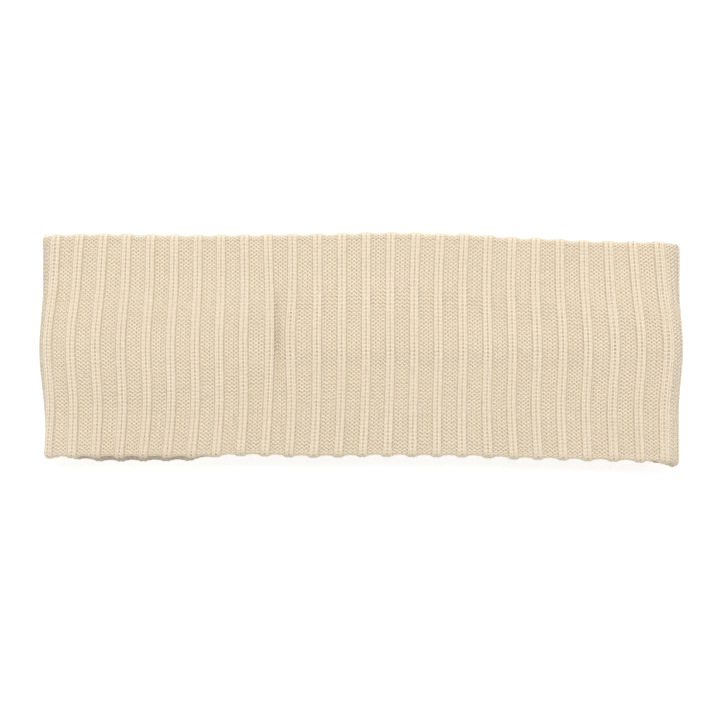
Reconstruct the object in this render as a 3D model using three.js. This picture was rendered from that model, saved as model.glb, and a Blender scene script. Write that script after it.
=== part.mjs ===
// Ear warmer headband of doubled rib knit, lying flat with its upper layer on its lower one.
// X runs along the flat band, Y across the knit from its lower to its upper edge, Z up.
// The band is one wall that runs round the loop, and every length is in millimetres.
import * as THREE from "three";

// The flat band
const flatLength = 252.1;
const bandHeight = 87.4;
const wallThickness = 4;
const hollowHeight = 5.6;

// The knit's ribs
const ribPitch = 9.45;
const ribCrest = 2.4;
const ribFlank = 0.8;
const ribRelief = 1.1;
const innerRibRelief = 0.4;
const firstRibPlace = 2.3;

// The knit's turned edges
const edgeRounding = 2.2;
const ribEndStep = 0.8;

// How the soft loop lies
const middleHump = 1.2;
const humpReach = 32;
const sideBulge = 1.5;
const bulgeReach = 26;
const upperSag = 0.5;

// How finely the wall's faces and edges are divided across the band, and a panel on a fold
const outerSteps = 9;
const innerSteps = 7;
const roundingSteps = 5;
const foldPanelParts = 4;

// Where the knit's edges lie, a row for each place round the loop. A turn of 0 is the middle of the
// upper layer, 0.25 the right fold, 0.5 the middle of the lower layer and 0.75 the left fold.
// top and bottom move that edge up the band, as shares of its height.
const edgePlaces = [
  { turn: -0.25, top: 0.009, bottom: 0.007 },
  { turn: -0.2, top: 0.014, bottom: 0.011 },
  { turn: -0.125, top: 0.008, bottom: 0.011 },
  { turn: -0.085, top: 0.01, bottom: 0.019 },
  { turn: -0.03, top: 0.014, bottom: 0.012 },
  { turn: 0.02, top: 0.02, bottom: 0.016 },
  { turn: 0.075, top: 0.013, bottom: 0.014 },
  { turn: 0.13, top: -0.004, bottom: 0.003 },
  { turn: 0.18, top: -0.018, bottom: -0.004 },
  { turn: 0.22, top: -0.021, bottom: -0.011 },
  { turn: 0.235, top: -0.023, bottom: -0.019 },
  { turn: 0.25, top: -0.036, bottom: -0.036 },
  { turn: 0.27, top: -0.034, bottom: -0.018 },
  { turn: 0.3, top: -0.03, bottom: 0.004 },
  { turn: 0.4, top: -0.012, bottom: 0.018 },
  { turn: 0.5, top: 0, bottom: 0.026 },
  { turn: 0.6, top: 0, bottom: 0.02 },
  { turn: 0.64, top: 0, bottom: -0.012 },
  { turn: 0.7, top: 0.006, bottom: -0.014 },
  { turn: 0.75, top: 0.009, bottom: 0.007 },
];

// How far the ribs lean out of their even spacing at the band's top, middle and bottom, as shares
// of the pitch, a row for each place round the loop
const ribSlides = [
  { turn: -0.25, top: 0.09, middle: 0, bottom: -0.27 },
  { turn: -0.22, top: 0.03, middle: -0.17, bottom: -0.31 },
  { turn: -0.15, top: -0.02, middle: -0.06, bottom: -0.37 },
  { turn: -0.07, top: -0.12, middle: -0.08, bottom: -0.28 },
  { turn: 0, top: -0.02, middle: -0.03, bottom: -0.2 },
  { turn: 0.06, top: 0.07, middle: -0.06, bottom: -0.08 },
  { turn: 0.12, top: 0.07, middle: -0.02, bottom: 0.15 },
  { turn: 0.17, top: 0.05, middle: 0.08, bottom: 0.21 },
  { turn: 0.21, top: 0.05, middle: 0.28, bottom: 0.4 },
  { turn: 0.25, top: 0.25, middle: 0.5, bottom: 0.42 },
  { turn: 0.35, top: 0.1, middle: 0.1, bottom: 0.1 },
  { turn: 0.65, top: 0, middle: 0, bottom: 0 },
  { turn: 0.75, top: 0.09, middle: 0, bottom: -0.27 },
];

// The pinched dent in the upper layer. along, reach and pull are shares of the pitch, and up and
// length are shares of the band's height; depth is a share of the wall.
const dent = { along: -3.4, up: 0.04, reach: 0.55, length: 0.42, depth: 0.25, pull: 0.24 };

const smooth = (share) => share * share * (3 - 2 * share);
const halfHeight = bandHeight / 2;

// A column's value at a place round the loop, eased between the rows on each side of it
function rowValue(rows, turn, column) {
  const after = Math.max(1, rows.findIndex((row) => row.turn > turn));
  const [low, high] = [rows[after - 1], rows[after]];
  const share = (turn - low.turn) / (high.turn - low.turn);
  return low[column] + (high[column] - low[column]) * smooth(share);
}

// The loop's section at a height on the band: the x of its fold centres, the radius of its folds and
// the length round it, all to the middle of the wall
function loopSection(y) {
  const hump = middleHump * (1 - smooth(Math.min(1, Math.abs(y) / humpReach)));
  const radius = (wallThickness + hollowHeight + hump) / 2;
  const flare = Math.min(1, Math.abs(y) / bulgeReach);
  const halfLength = flatLength / 2 - sideBulge * smooth(flare);
  const centre = halfLength - wallThickness / 2 - radius;
  return { centre, radius, round: 4 * centre + 2 * Math.PI * radius };
}

// The middle of the wall at a length round the loop's section, and which way is out of the loop
function loopPlace(section, along) {
  const { centre, radius, round } = section;
  const fold = Math.PI * radius;
  const start = round - centre;
  const length = (along + round) % round;
  const middle = wallThickness / 2 + radius;
  const at = (x, z, outX, outZ) => ({ x, z, outX, outZ });
  if (length < centre) return at(length, middle + radius, 0, 1);
  if (length >= start) return at(length - round, middle + radius, 0, 1);
  if (length < centre + fold) {
    const angle = (length - centre) / radius;
    const [sine, cosine] = [Math.sin(angle), Math.cos(angle)];
    return at(centre + radius * sine, middle + radius * cosine, sine, cosine);
  }
  if (length < 3 * centre + fold) return at(2 * centre + fold - length, wallThickness / 2, 0, -1);
  const angle = (length - 3 * centre - fold) / radius;
  const [sine, cosine] = [Math.sin(angle), Math.cos(angle)];
  return at(-centre - radius * sine, middle - radius * cosine, -sine, -cosine);
}

// How far the knit at a place round the loop slides along it, at a height on the band
function slideAt(turn, y) {
  const [top, middle, bottom] = ["top", "middle", "bottom"].map((at) => rowValue(ribSlides, turn, at));
  const up = Math.max(-1, Math.min(1, y / halfHeight));
  return ribPitch * (middle + (up > 0 ? top - middle : bottom - middle) * up * up);
}

// How strongly the dent pulls at a place on the upper layer, and which way towards its middle
function dentPull(x, y) {
  const along = (x / ribPitch - dent.along) / dent.reach;
  const up = (y / bandHeight - dent.up) / (dent.length / 2);
  return { strength: Math.exp(-along * along - up * up), towards: -along };
}

// Heights and depths of the wall's section, once round it from the bottom edge up the outer face.
// share runs from the bottom edge's rounding to the top edge's, rise is out past either rounding,
// and side is 1 on the outer face and -1 on the inner one.
function wallSection() {
  const points = [];
  for (let i = 0; i < outerSteps; i++) points.push({ share: i / (outerSteps - 1), rise: 0, side: 1 });
  for (let i = 1; i < roundingSteps; i++) {
    const angle = (Math.PI * i) / roundingSteps;
    points.push({ share: 1, rise: Math.sin(angle), side: Math.cos(angle) });
  }
  for (let i = innerSteps - 1; i >= 0; i--) points.push({ share: i / (innerSteps - 1), rise: 0, side: -1 });
  for (let i = 1; i < roundingSteps; i++) {
    const angle = (Math.PI * i) / roundingSteps;
    points.push({ share: 0, rise: -Math.sin(angle), side: -Math.cos(angle) });
  }
  return points;
}

// The columns of points round the loop: up a rib's flank, over its crest and down, then across the
// panel to the next rib, in more columns where it bends round a fold. place is a column's length
// round the loop with its ribs evenly spaced.
function knitColumns(section, ribCount) {
  const spacing = section.round / ribCount;
  const crest = ribCrest / 2;
  const foot = crest + ribFlank;
  const foldReach = (Math.PI * section.radius) / 2 + spacing;
  const columns = [];
  for (let rib = 0; rib < ribCount; rib++) {
    const place = firstRibPlace + rib * spacing;
    columns.push({ place: place - foot, raised: 0 }, { place: place - crest, raised: 1 });
    columns.push({ place: place + crest, raised: 1 }, { place: place + foot, raised: 0 });
    const panel = place + spacing / 2;
    const fromFold = Math.abs(Math.abs(panel / section.round - 0.5) - 0.25) * section.round;
    const parts = fromFold < foldReach ? foldPanelParts : 1;
    for (let part = 1; part < parts; part++) {
      columns.push({ place: place + foot + ((spacing - 2 * foot) * part) / parts, raised: 0 });
    }
  }
  return columns;
}

// One point of the wall, for a column of the knit and a point of the wall's section
function wallPoint(column, length, point) {
  const even = column.place / length;
  const turn = even >= 0.75 ? even - 1 : even;
  const shortened = ribEndStep * (1 - column.raised);
  const top = halfHeight + bandHeight * rowValue(edgePlaces, turn, "top") - shortened;
  const bottom = -halfHeight + bandHeight * rowValue(edgePlaces, turn, "bottom") + shortened;
  const faceLength = top - bottom - 2 * edgeRounding;
  const y = bottom + edgeRounding + faceLength * point.share + edgeRounding * point.rise;

  const section = loopSection(y);
  const along = turn * section.round + slideAt(turn, y);
  const place = loopPlace(section, along);
  const outer = wallThickness / 2 - ribRelief * (1 - column.raised);
  const inner = wallThickness / 2 - innerRibRelief * (1 - column.raised);
  const depth = (outer - inner) / 2 + ((outer + inner) / 2) * point.side;

  const upper = Math.max(0, place.outZ);
  const pull = dentPull(place.x, y);
  const sag = upperSag * (1 - (place.x / section.centre) ** 2);
  const dip = upper * (Math.max(0, sag) + dent.depth * wallThickness * pull.strength);
  const pinch = upper * dent.pull * ribPitch * pull.strength * pull.towards;
  return new THREE.Vector3(place.x + place.outX * depth + pinch, y, place.z + place.outZ * depth - dip);
}

// The headband: a closed wall, with its section swept through every column of the loop
function knitBand() {
  const middle = loopSection(0);
  const columns = knitColumns(middle, Math.round(middle.round / ribPitch));
  const section = wallSection();
  const places = columns.flatMap((column) =>
    section.map((point) => wallPoint(column, middle.round, point)),
  );
  const faces = [];
  columns.forEach((_, i) => {
    const here = i * section.length;
    const next = ((i + 1) % columns.length) * section.length;
    section.forEach((_, j) => {
      const up = (j + 1) % section.length;
      faces.push(here + j, next + j, next + up, here + j, next + up, here + up);
    });
  });
  const geometry = new THREE.BufferGeometry().setFromPoints(places);
  geometry.setIndex(faces);
  geometry.computeBoundingBox();
  const centre = geometry.boundingBox.getCenter(new THREE.Vector3());
  geometry.translate(-centre.x, -centre.y, 0);
  geometry.computeVertexNormals();

  const creamKnit = new THREE.MeshStandardMaterial({ color: "#e3d3b9", roughness: 0.95, metalness: 0 });
  const mesh = new THREE.Mesh(geometry, creamKnit);
  mesh.name = "knit_band";
  return mesh;
}

const headband = new THREE.Group();
headband.add(knitBand());

export default headband;
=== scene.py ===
import math

import bmesh
import bpy
import numpy as np
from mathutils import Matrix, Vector


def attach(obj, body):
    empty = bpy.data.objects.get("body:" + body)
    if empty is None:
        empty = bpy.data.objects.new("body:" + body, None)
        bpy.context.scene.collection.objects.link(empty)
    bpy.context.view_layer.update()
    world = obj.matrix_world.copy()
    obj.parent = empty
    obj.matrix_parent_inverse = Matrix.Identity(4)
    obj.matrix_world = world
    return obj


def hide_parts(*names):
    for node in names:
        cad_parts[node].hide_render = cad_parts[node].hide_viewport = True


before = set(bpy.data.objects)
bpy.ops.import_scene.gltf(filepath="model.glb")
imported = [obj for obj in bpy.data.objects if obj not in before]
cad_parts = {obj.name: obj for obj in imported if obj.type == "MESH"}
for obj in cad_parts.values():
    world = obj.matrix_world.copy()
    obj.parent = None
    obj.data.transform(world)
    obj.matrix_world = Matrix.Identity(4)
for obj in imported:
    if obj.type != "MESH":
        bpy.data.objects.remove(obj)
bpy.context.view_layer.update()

# The band as it lies flat, in metres, with the sizes of the solid it stands for
band = dict(
    flatLength=0.2521,
    height=0.0874,
    wall=0.004,
    hollow=0.0056,
    ribPitch=0.00945,
    ribCrest=0.0024,
    ribFlank=0.0008,
    ribRelief=0.0011,
    innerRibRelief=0.0004,
    firstRibPlace=0.0023,
    edgeRounding=0.0022,
    ribEndStep=0.0008,
    middleHump=0.0012,
    humpReach=0.032,
    sideBulge=0.0015,
    bulgeReach=0.026,
    upperSag=0.0005,
)

# Where the edges lie and how far the ribs lean, a row for each place round the loop: a turn of 0 is
# the middle of the upper layer, 0.25 the right fold, 0.5 the lower layer and 0.75 the left fold.
# Edges are shares of the height, leans are shares of the rib pitch.
edgeRows = dict(
    turn=[-0.25, -0.2, -0.125, -0.085, -0.03, 0.02, 0.075, 0.13, 0.18, 0.22, 0.235, 0.25, 0.27, 0.3,
          0.4, 0.5, 0.6, 0.64, 0.7, 0.75],
    top=[0.009, 0.014, 0.008, 0.01, 0.014, 0.02, 0.013, -0.004, -0.018, -0.021, -0.023, -0.036, -0.034,
         -0.03, -0.012, 0, 0, 0, 0.006, 0.009],
    bottom=[0.007, 0.011, 0.011, 0.019, 0.012, 0.016, 0.014, 0.003, -0.004, -0.011, -0.019, -0.036,
            -0.009, 0.008, 0.018, 0.026, 0.02, -0.012, -0.014, 0.007],
)
leanRows = dict(
    turn=[-0.25, -0.22, -0.15, -0.07, 0, 0.06, 0.12, 0.17, 0.21, 0.25, 0.35, 0.65, 0.75],
    top=[0.09, 0.03, -0.02, -0.12, -0.02, 0.07, 0.07, 0.05, 0.05, 0.25, 0.1, 0, 0.09],
    middle=[0, -0.17, -0.06, -0.08, -0.03, -0.06, -0.02, 0.08, 0.28, 0.5, 0.1, 0, 0],
    bottom=[-0.27, -0.31, -0.37, -0.28, -0.2, -0.08, 0.15, 0.21, 0.4, 0.42, 0.1, 0, -0.27],
)
dent = dict(along=-3.4, up=0.04, reach=0.55, length=0.42, depth=0.25, pull=0.24)
scallops = dict(narrowing=1.4, upper=0.6)  # how narrow the rib ends are, and the upper edge's share
crease = dict(along=-3.46, reach=0.2, length=0.36, depth=0.0018)  # the sharp fold at the dent's bottom

# The knit: five stitches to a rib and its panel, two of them the rib's
knit = dict(
    walesPerRib=5,
    ribWales=2,
    courses=68,
    insideReach=0.0022,  # how far the stitches go on past an edge, inside the loop
    yarnRadius=0.00047,
    ribYarn=1.07,  # the rib's yarn against the panel's
    loopWidth=0.13,
    loopHeight=0.88,
    loopDepth=0.00022,
    ribPull=0.12,  # how far the two legs of a rib's stitch draw together, in wales
    ribRise=0.00016,  # how far the rib's stitches stand up more than the solid's rib
    riseAtFold=0.5,  # the share of that rise at the folds, as ribs on the table have none of it
    riseFade=1.5,  # how fast the share changes there
    turnOver=0.3,  # the width in which a row changes from knit to purl, in wales
)


def eased(share):
    return share * share * (3 - 2 * share)


# A column's value at a turn, eased between the rows on each side of it
def rowValue(rows, turn, column):
    turns = np.array(rows["turn"])
    values = np.array(rows[column])
    low = np.clip(np.searchsorted(turns, turn, side="right") - 1, 0, len(turns) - 2)
    share = (turn - turns[low]) / (turns[low + 1] - turns[low])
    return values[low] + (values[low + 1] - values[low]) * eased(share)


# The loop's section at a height on the band: the x of its fold centres, its folds' radius and the
# length round it, all to the middle of the wall
def loopSection(y):
    hump = band["middleHump"] * (1 - eased(np.minimum(1, np.abs(y) / band["humpReach"])))
    radius = (band["wall"] + band["hollow"] + hump) / 2
    flare = np.minimum(1, np.abs(y) / band["bulgeReach"])
    halfLength = band["flatLength"] / 2 - band["sideBulge"] * eased(flare)
    centre = halfLength - band["wall"] / 2 - radius
    return centre, radius, 4 * centre + 2 * math.pi * radius


evenLength = float(loopSection(np.array(0.0))[2])
ribCount = round(evenLength / band["ribPitch"])
ribSpacing = evenLength / ribCount
waleCount = ribCount * knit["walesPerRib"]
wale = evenLength / waleCount


# The middle of the wall at a length round the section, and which way is out of the loop
def loopPlace(centre, radius, around, along):
    length = np.mod(along, around)
    fold = math.pi * radius
    middle = band["wall"] / 2 + radius
    rightAngle = (length - centre) / radius
    leftAngle = (length - 3 * centre - fold) / radius
    zones = [
        length < centre,
        length < centre + fold,
        length < 3 * centre + fold,
        length < 3 * centre + 2 * fold,
    ]
    outX = np.select(zones, [0, np.sin(rightAngle), 0, -np.sin(leftAngle)], 0)
    outZ = np.select(zones, [1, np.cos(rightAngle), -1, -np.cos(leftAngle)], 1)
    x = np.select(
        zones,
        [length, centre + radius * outX, 2 * centre + fold - length, -centre + radius * outX],
        length - around,
    )
    return x, middle + radius * outZ, outX, outZ


# How far the knit stands up on its ribs at a length round the loop: 1 on a crest, 0 on a panel
def raisedAt(place):
    fromCrest = np.mod(place - band["firstRibPlace"] + ribSpacing / 2, ribSpacing) - ribSpacing / 2
    return 1 - eased(np.clip((np.abs(fromCrest) - band["ribCrest"] / 2) / band["ribFlank"], 0, 1))


# The wall's edges and the depths of its faces at a place round the loop. The edges are scalloped: each
# rib ends a little past its panels.
def wallSizes(place, turn, raised, drop):
    half = band["height"] / 2
    scallop = 0.5 + 0.5 * np.cos(2 * math.pi * (place - band["firstRibPlace"]) / ribSpacing)
    shortened = band["ribEndStep"] * (1 - scallop ** scallops["narrowing"])
    rounding = band["edgeRounding"]
    upperStep = shortened * scallops["upper"]
    top = half + band["height"] * rowValue(edgeRows, turn, "top") - upperStep - rounding
    bottom = -half + band["height"] * rowValue(edgeRows, turn, "bottom") + shortened + rounding
    outerDepth = band["wall"] / 2 - drop - band["ribRelief"] * (1 - raised)
    innerDepth = band["wall"] / 2 - band["innerRibRelief"] * (1 - raised)
    return top, bottom, (outerDepth - innerDepth) / 2, (outerDepth + innerDepth) / 2


# A length round the loop as a turn, from -0.25 at the left fold to 0.75 there again
def turnAt(place):
    return np.mod(place / evenLength + 0.25, 1) - 0.25


# Points on the stitches' side of the wall. place is a length round the loop with its ribs evenly
# spaced, across runs from 0 inside the lower edge over the outer face to 1 inside the upper one,
# and lift is out of the face.
def wallPlace(place, across, lift):
    raised = raisedAt(place)
    turn = turnAt(place)
    top, bottom, middleDepth, halfDepth = wallSizes(place, turn, raised, 0)
    rounding = band["edgeRounding"]
    wrap = math.pi * rounding
    reach = wrap + knit["insideReach"]
    length = across * (top - bottom + 2 * reach) - reach
    past = np.maximum(0, length - (top - bottom)) + np.minimum(0, length)
    rounded = np.clip(past, -wrap, wrap)
    angle = rounded / rounding
    y = bottom + np.clip(length, 0, top - bottom) + (rounding + lift) * np.sin(angle) - (past - rounded)
    depth = middleDepth + (halfDepth + lift) * np.cos(angle)
    return settle(place, turn, y, depth)


# The wall's points as the soft loop lies: leaning ribs, folds, sag and dent
def settle(place, turn, y, depth):
    centre, radius, around = loopSection(y)
    up = np.clip(y / (band["height"] / 2), -1, 1)
    top, middle, bottom = (rowValue(leanRows, turn, name) for name in ("top", "middle", "bottom"))
    lean = band["ribPitch"] * (middle + np.where(up > 0, top - middle, bottom - middle) * up * up)
    x, z, outX, outZ = loopPlace(centre, radius, around, turn * around + lean)
    upper = np.maximum(0, outZ)
    along = (x / band["ribPitch"] - dent["along"]) / dent["reach"]
    rise = (y / band["height"] - dent["up"]) / (dent["length"] / 2)
    pull = np.exp(-along ** 2 - rise ** 2)
    sag = band["upperSag"] * np.maximum(0, 1 - (x / centre) ** 2)
    creaseAlong = (x / band["ribPitch"] - crease["along"]) / crease["reach"]
    creaseRise = (y / band["height"] - dent["up"]) / (crease["length"] / 2)
    sharp = crease["depth"] * np.exp(-creaseAlong ** 2 - creaseRise ** 2)
    dip = upper * (sag + dent["depth"] * band["wall"] * pull + sharp)
    pinch = -upper * dent["pull"] * band["ribPitch"] * pull * along
    return np.stack([x + outX * depth + pinch, y, z + outZ * depth - dip], axis=-1)


# The solid's outline is centred on the frame's origin, and so is the knit's
outline = dict(placesPerRib=24, rows=181)
centring = np.zeros(3)
outlineStep = ribSpacing / outline["placesPerRib"]
outlinePlaces = band["firstRibPlace"] + np.arange(ribCount * outline["placesPerRib"]) * outlineStep
outlineAcross = np.linspace(0, 1, outline["rows"])
outlinePoints = wallPlace(outlinePlaces[:, None], outlineAcross[None, :], 0.0).reshape(-1, 3)
centring[:2] = -(outlinePoints.min(0) + outlinePoints.max(0))[:2] / 2
print("knit mapped:", ribCount, "ribs,", waleCount, "wales,", knit["courses"], "courses")


# Points of the yarn along part of one course, how thick it is at each, and its place on the knit
def yarnRun(course, firstWale, lastWale, stepsPerStitch):
    steps = (lastWale - firstWale) * stepsPerStitch + 1
    stitch = firstWale + np.arange(steps) / stepsPerStitch
    turn = 2 * math.pi * stitch
    span = knit["walesPerRib"] / 2
    fromRib = np.abs(np.mod(stitch - knit["ribWales"] / 2 + span, knit["walesPerRib"]) - span)
    face = 1 - 2 * eased(np.clip((fromRib - knit["ribWales"] / 2) / knit["turnOver"] + 0.5, 0, 1))
    pull = knit["ribPull"] * (1 + face) / 2 * np.sin(turn)
    place = (stitch + knit["loopWidth"] * np.sin(2 * turn) + pull) * wale
    place = place + band["firstRibPlace"] - knit["ribWales"] / 2 * wale
    across = (course + 0.5 - knit["loopHeight"] * np.cos(turn)) / knit["courses"]
    thickness = 1 + (knit["ribYarn"] - 1) * (1 + face) / 2
    upLoop = np.cos(2 * math.pi * place / evenLength)
    offTable = np.clip(knit["riseAtFold"] + knit["riseFade"] * upLoop, 0, 1)
    lift = knit["ribRise"] * offTable * (1 + face) / 2 - knit["yarnRadius"] * thickness
    lift = lift - knit["loopDepth"] * (1 + face * np.cos(2 * turn))
    return wallPlace(place, across, lift) + centring, thickness, place / evenLength, across


# A polygon that a curve is swept with, for thin yarn and fibres
def sweepSection(name, radius, sides):
    curve = bpy.data.curves.new(name, "CURVE")
    curve.dimensions = "2D"
    corners = curve.splines.new("POLY")
    corners.points.add(sides - 1)
    for index in range(sides):
        angle = 2 * math.pi * index / sides
        corners.points[index].co = (radius * math.cos(angle), radius * math.sin(angle), 0, 1)
    corners.use_cyclic_u = True
    section = bpy.data.objects.new(name, curve)
    bpy.context.scene.collection.objects.link(section)
    return section


# Sweeps a section along many runs of points and joins them as one mesh, with each point's place on
# the knit kept as its OFBake map
def sweptPiece(name, runs, section):
    curve = bpy.data.curves.new(name, "CURVE")
    curve.dimensions = "3D"
    curve.twist_mode = "MINIMUM"
    curve.bevel_mode = "OBJECT"
    curve.bevel_object = section
    for points, thickness, around, across in runs:
        spline = curve.splines.new("POLY")
        spline.points.add(len(points) - 1)
        spline.points.foreach_set("co", np.column_stack([points, np.ones(len(points))]).ravel())
        spline.points.foreach_set("radius", thickness)
        spline.use_smooth = True
    source = bpy.data.objects.new(name, curve)
    bpy.context.scene.collection.objects.link(source)
    bpy.context.view_layer.update()
    mesh = bpy.data.meshes.new_from_object(source.evaluated_get(bpy.context.evaluated_depsgraph_get()))
    mesh.name = name
    bpy.data.objects.remove(source)
    bpy.data.curves.remove(curve)

    sides = len(section.data.splines[0].points)
    around = np.repeat(np.concatenate([run[2] for run in runs]), sides)
    across = np.repeat(np.concatenate([run[3] for run in runs]), sides)
    around = (around - around.min()) / (around.max() - around.min())
    across = (across - across.min()) / (across.max() - across.min())
    corners = np.zeros(len(mesh.loops), dtype=np.int32)
    mesh.loops.foreach_get("vertex_index", corners)
    while mesh.uv_layers:
        mesh.uv_layers.remove(mesh.uv_layers[0])
    bakeMap = mesh.uv_layers.new(name="OFBake")
    bakeMap.uv.foreach_set("vector", np.column_stack([around[corners], across[corners]]).ravel())

    piece = bpy.data.objects.new(name, mesh)
    bpy.context.scene.collection.objects.link(piece)
    print(name, len(mesh.polygons), "faces")
    return piece


# The knit's ground under the stitches, a closed wall. Its way round goes up the outer face, over the
# upper edge, down the inner face and round the lower edge.
core = dict(
    columnsPerRib=8,
    rows=44,
    drop=0.0006,  # how far it lies under the solid's outer face
    edgeShare=0.07,  # each edge's share of the way round
    weld=0.000001,
)


def corePlace(place, share):
    raised = raisedAt(place)
    turn = turnAt(place)
    top, bottom, middleDepth, halfDepth = wallSizes(place, turn, raised, core["drop"])
    rounding = band["edgeRounding"] - core["drop"]
    faceShare = 0.5 - core["edgeShare"]
    upFace = share / faceShare
    downFace = 1 - (share - 0.5) / faceShare
    overTop = (share - faceShare) / core["edgeShare"] * math.pi
    underBottom = (share - 0.5 - faceShare) / core["edgeShare"] * math.pi
    zones = [share < faceShare, share < 0.5, share < 0.5 + faceShare]
    outerFace = bottom + (top - bottom) * upFace
    innerFace = bottom + (top - bottom) * downFace
    upperEdge = top + rounding * np.sin(overTop)
    lowerEdge = bottom - rounding * np.sin(underBottom)
    y = np.select(zones, [outerFace, upperEdge, innerFace], lowerEdge)
    side = np.select(zones, [1, np.cos(overTop), -1], -np.cos(underBottom))
    return settle(place, turn, y, middleDepth + halfDepth * side) + centring


# The grid starts as a unit square, so that its corners are shares of the way along and round the wall
def coreMesh():
    mesh = bpy.data.meshes.new("knit_core")
    bm = bmesh.new()
    bm.loops.layers.uv.new("OFBake")
    columns = ribCount * core["columnsPerRib"]
    bmesh.ops.create_grid(bm, x_segments=columns, y_segments=core["rows"], size=0.5, calc_uvs=True)
    bm.verts.ensure_lookup_table()
    flat = np.array([vert.co[:] for vert in bm.verts]) + 0.5
    for vert, point in zip(bm.verts, corePlace(flat[:, 0] * evenLength, flat[:, 1])):
        vert.co = point
    bmesh.ops.remove_doubles(bm, verts=bm.verts, dist=core["weld"])
    bmesh.ops.recalc_face_normals(bm, faces=bm.faces)
    for face in bm.faces:
        face.smooth = True
    bm.to_mesh(mesh)
    bm.free()
    weaveMap = mesh.uv_layers.new(name="knitWeave")
    places = np.zeros(len(mesh.loops) * 2, dtype=np.float32)
    mesh.uv_layers["OFBake"].uv.foreach_get("vector", places)
    weaveMap.uv.foreach_set("vector", places)
    piece = bpy.data.objects.new("knit_core", mesh)
    bpy.context.scene.collection.objects.link(piece)
    print("knit_core", len(mesh.polygons), "faces")
    return piece


# Shader maths: a socket whose operators add Math nodes
class Socket:
    def __init__(self, tree, source):
        self.tree = tree
        self.source = source

    def maths(self, operation, *values):
        return self.tree.node("ShaderNodeMath", {"operation": operation}, dict(enumerate(values)))

    def __add__(self, other):
        return self.maths("ADD", self, other)

    def __radd__(self, other):
        return self.maths("ADD", other, self)

    def __sub__(self, other):
        return self.maths("SUBTRACT", self, other)

    def __rsub__(self, other):
        return self.maths("SUBTRACT", other, self)

    def __mul__(self, other):
        return self.maths("MULTIPLY", self, other)

    def __rmul__(self, other):
        return self.maths("MULTIPLY", other, self)

    def fraction(self):
        return self.maths("FRACT", self)

    def size(self):
        return self.maths("ABSOLUTE", self)

    def wave(self):
        return self.maths("SINE", self * (2 * math.pi)) * 0.5 + 0.5


class Finish:
    def __init__(self, name):
        self.material = bpy.data.materials.new(name)
        self.material.use_nodes = True
        self.nodes = self.material.node_tree.nodes
        self.shader = self.nodes["Principled BSDF"]

    def feed(self, socket, value):
        if isinstance(value, Socket):
            self.material.node_tree.links.new(value.source, socket)
        else:
            socket.default_value = value

    def node(self, kind, settings, values, output=0):
        made = self.nodes.new(kind)
        for name, value in settings.items():
            setattr(made, name, value)
        for name, value in values.items():
            self.feed(made.inputs[name], value)
        return Socket(self, made.outputs[output])

    def noise(self, place, scale, detail):
        return self.node("ShaderNodeTexNoise", {}, {"Vector": place, "Scale": scale, "Detail": detail})

    # The Mix node's colour sockets go by number, as they share their names with its other ones
    def blend(self, factor, first, second):
        return self.node(
            "ShaderNodeMix",
            {"data_type": "RGBA"},
            {"Factor": factor, 6: (*first, 1), 7: (*second, 1)},
            output=2,
        )

    def set(self, values):
        for name, value in values.items():
            self.feed(self.shader.inputs[name], value)
        return self.material


# Wool: soft and matt, a little paler and a little deeper from place to place, with loose fibres
wool = dict(
    pale=(0.835, 0.73, 0.57),
    deep=(0.765, 0.65, 0.483),
    patches=34,  # broad changes of shade, a metre
    flecks=520,
    patchShare=0.55,
    fleckShare=0.45,
    shadeDetail=2,
    fibres=6500,
    fibreDetail=3,
    fibreRise=0.00007,
    bump=0.6,
    roughness=0.9,
    sheen=0.7,
    sheenRoughness=0.5,
    sheenTint=(1.0, 0.98, 0.95, 1),
)

# The ground between the stitches and inside the loop: chevrons, one column to a wale. Its colours are
# the yarn's wool painted darker, as painted shade in the gaps between the stitches and inside the loop.
weave = dict(
    pale=(0.76, 0.66, 0.51),
    deep=(0.68, 0.575, 0.425),
    slant=1.4,  # how far a chevron drops from the middle of its wale to its sides
    hollow=2.4,  # how much lower a wale's sides are than its middle
    rise=0.0005,
    fibreShare=0.3,
)


def woolFinish(name, pale, deep, stitchHeight=None):
    finish = Finish(name)
    place = finish.node("ShaderNodeTexCoord", {}, {}, output="Object")
    patches = finish.noise(place, wool["patches"], wool["shadeDetail"])
    flecks = finish.noise(place, wool["flecks"], wool["shadeDetail"])
    shade = finish.blend(patches * wool["patchShare"] + flecks * wool["fleckShare"], deep, pale)
    height = finish.noise(place, wool["fibres"], wool["fibreDetail"])
    rise = wool["fibreRise"]
    if stitchHeight is not None:
        height = stitchHeight(finish) + height * weave["fibreShare"]
        rise = weave["rise"]
    relief = {"Strength": wool["bump"], "Distance": rise, "Height": height}
    bump = finish.node("ShaderNodeBump", {}, relief)
    return finish.set(
        {
            "Base Color": shade,
            "Roughness": wool["roughness"],
            "Normal": bump,
            "Sheen Weight": wool["sheen"],
            "Sheen Roughness": wool["sheenRoughness"],
            "Sheen Tint": wool["sheenTint"],
        }
    )


def groundStitches(finish):
    uv = finish.node("ShaderNodeUVMap", {"uv_map": "knitWeave"}, {})
    around = finish.node("ShaderNodeSeparateXYZ", {}, {"Vector": uv}, output="X")
    up = finish.node("ShaderNodeSeparateXYZ", {}, {"Vector": uv}, output="Y")
    fromMiddle = ((around * waleCount).fraction() - 0.5).size()
    rows = (up * (2 * knit["courses"]) - fromMiddle * weave["slant"]).wave()
    return rows * (1 - fromMiddle * fromMiddle * weave["hollow"])


yarnWool = woolFinish("yarnWool", wool["pale"], wool["deep"])
# the ground's darker wool is painted shade for the gaps between the stitches and the inside of the loop
shadedGroundWool = woolFinish("shadedGroundWool", weave["pale"], weave["deep"], groundStitches)
print("materials made")

ground = coreMesh()
ground.data.materials.append(shadedGroundWool)
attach(ground, "root")
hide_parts("knit_band")

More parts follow.
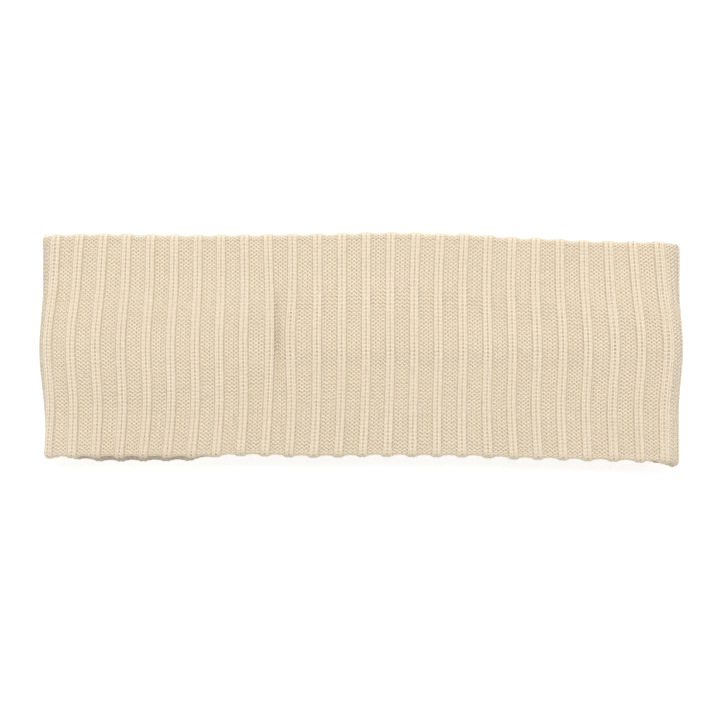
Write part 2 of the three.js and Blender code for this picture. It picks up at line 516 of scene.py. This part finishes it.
# The stitches, in pieces of whole courses: round yarn on the upper layer and over both folds, and
# a plainer section under the lower layer
stitches = dict(upperWales=140, roundSides=4, plainSides=3)
firstUpper = -stitches["upperWales"] // 2
lastUpper = firstUpper + stitches["upperWales"]
lastLower = waleCount + firstUpper
roundYarn = sweepSection("roundYarn", knit["yarnRadius"], stitches["roundSides"])
plainYarn = sweepSection("plainYarn", knit["yarnRadius"], stitches["plainSides"])
layers = [
    dict(name="upper_stitches", pieces=4, first=firstUpper, last=lastUpper, steps=7, yarn=roundYarn),
    dict(name="lower_stitches", pieces=2, first=lastUpper, last=lastLower, steps=5, yarn=plainYarn),
]
pieces = []
for layer in layers:
    parts = np.array_split(np.arange(knit["courses"]), layer["pieces"])
    for number, courses in enumerate(parts, start=1):
        runs = [yarnRun(course, layer["first"], layer["last"], layer["steps"]) for course in courses]
        pieces.append(sweptPiece(f"{layer['name']}_{number}", runs, layer["yarn"]))

# Loose wool fibres that stand off the stitches
fuzz = dict(
    count=7000,
    seed=7,
    radius=0.00002,
    sides=3,
    points=3,
    across=(0.06, 0.94),  # where they start, from the lower edge to the upper one
    reach=0.0016,
    lengths=(0.5, 1.3),  # the shortest and the longest, as shares of the reach
    rise=0.0006,
    rises=(0.2, 1.2),  # the lowest and the highest, as shares of the rise
    bend=0.8,
    root=0.4,  # how deep in the yarn they start, as a share of its radius
    arch=0.7,  # the power that makes them rise fast at first
    taper=0.6,
    clearance=0.0003,  # over the table
)


def fibreRuns():
    rng = np.random.default_rng(fuzz["seed"])
    root = fuzz["root"] * knit["yarnRadius"]
    runs = []
    for _ in range(fuzz["count"]):
        place = rng.uniform(firstUpper, lastUpper) * wale
        across = rng.uniform(*fuzz["across"])
        heading = rng.uniform(0, 2 * math.pi)
        length = fuzz["reach"] * rng.uniform(*fuzz["lengths"])
        rise = fuzz["rise"] * rng.uniform(*fuzz["rises"])
        bend = rng.uniform(-fuzz["bend"], fuzz["bend"])
        share = np.linspace(0, 1, fuzz["points"])
        headings = heading + bend * share
        places = place + length * share * np.cos(headings)
        acrosses = across + length * share * np.sin(headings) / band["height"]
        lifts = (rise + root) * share ** fuzz["arch"] - root
        points = wallPlace(places, acrosses, lifts) + centring
        points[:, 2] = np.maximum(points[:, 2], fuzz["clearance"])
        runs.append((points, 1 - fuzz["taper"] * share, places / evenLength, acrosses))
    return runs


fibreSection = sweepSection("fibre", fuzz["radius"], fuzz["sides"])
pieces.append(sweptPiece("wool_fuzz", fibreRuns(), fibreSection))
for section in (roundYarn, plainYarn, fibreSection):
    bpy.data.objects.remove(section)

for piece in pieces:
    piece.data.materials.append(yarnWool)
    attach(piece, "root")
print("stitches and fuzz made")

# A white table and soft light from all round, a little more of it from the picture's top
studio = dict(
    floorSize=3.0,
    floorShade=(0.6, 0.6, 0.6, 1),
    floorRoughness=0.8,
    floorGlow=0.6,
    white=(1, 1, 1, 1),
    roundLight=0.68,
    lampPlace=(0.0, 0.75, 0.95),
    lampSize=0.9,
    lampPower=10.5,
)
floorMesh = bpy.data.meshes.new("floor")
bm = bmesh.new()
bmesh.ops.create_grid(bm, x_segments=1, y_segments=1, size=studio["floorSize"])
bm.to_mesh(floorMesh)
bm.free()
floor = bpy.data.objects.new("floor", floorMesh)
bpy.context.scene.collection.objects.link(floor)
tableFinish = Finish("whiteTable").set(
    {
        "Base Color": studio["floorShade"],
        "Roughness": studio["floorRoughness"],
        "Emission Color": studio["white"],
        "Emission Strength": studio["floorGlow"],
    }
)
floor.data.materials.append(tableFinish)

world = bpy.data.worlds.new("studio")
world.use_nodes = True
background = world.node_tree.nodes["Background"]
background.inputs["Color"].default_value = studio["white"]
background.inputs["Strength"].default_value = studio["roundLight"]
bpy.context.scene.world = world

lampData = bpy.data.lights.new("topLight", "AREA")
lampData.size = studio["lampSize"]
lampData.energy = studio["lampPower"]
lamp = bpy.data.objects.new("topLight", lampData)
lamp.location = studio["lampPlace"]
lamp.rotation_euler = Vector(studio["lampPlace"]).to_track_quat("Z", "Y").to_euler()
bpy.context.scene.collection.objects.link(lamp)

# The camera looks straight down, and sees the frame's origin where the photo has it
photo = dict(
    pixels=720,
    metresPerPixel=0.00039,
    centreX=361,
    centreY=349.8,
    lens=85,
    sensor=36,
    level=0.0075,  # the height over the table at which the picture has that scale
)
cameraData = bpy.data.cameras.new("camera")
cameraData.lens = photo["lens"]
cameraData.sensor_width = photo["sensor"]
distance = photo["pixels"] * photo["metresPerPixel"] * photo["lens"] / photo["sensor"]
camera = bpy.data.objects.new("camera", cameraData)
camera.location = (
    (photo["pixels"] / 2 - photo["centreX"]) * photo["metresPerPixel"],
    (photo["centreY"] - photo["pixels"] / 2) * photo["metresPerPixel"],
    distance + photo["level"],
)
bpy.context.scene.collection.objects.link(camera)
bpy.context.scene.camera = camera

bpy.context.scene.view_settings.view_transform = "Standard"
bpy.context.scene.view_settings.look = "None"
